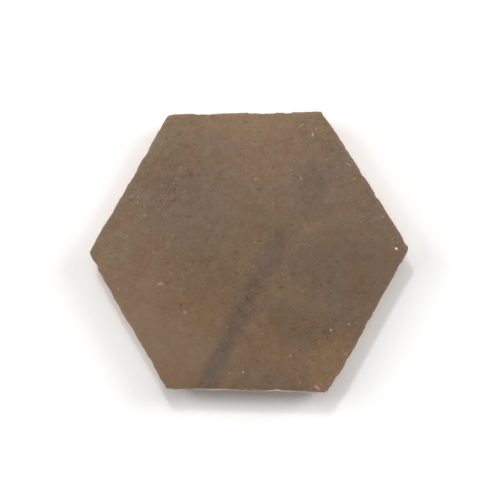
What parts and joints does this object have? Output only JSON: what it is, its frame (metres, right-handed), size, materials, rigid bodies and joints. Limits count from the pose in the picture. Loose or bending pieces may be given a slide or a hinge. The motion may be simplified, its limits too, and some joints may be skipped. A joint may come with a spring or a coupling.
{
  "type": "hexagonal clay floor tile",
  "caption": "Hand-cut hexagonal fired-clay floor tile, flat on both faces, with walls undercut towards a smaller back and a chipped arris.",
  "frame": {"origin": "middle of the bedding face, the smaller back of the tile, at the centre of the hexagon", "axes": "+Z out of the wearing face, +X towards a corner of the hexagon (its longest measure), +Y square to one side"},
  "size_m": [0.1604, 0.1415, 0.015],
  "materials": {
    "fired_clay": "matte"
  },
  "bodies": {
    "root": {"hexagon_tile": "fired_clay"}
  },
  "joints": []
}
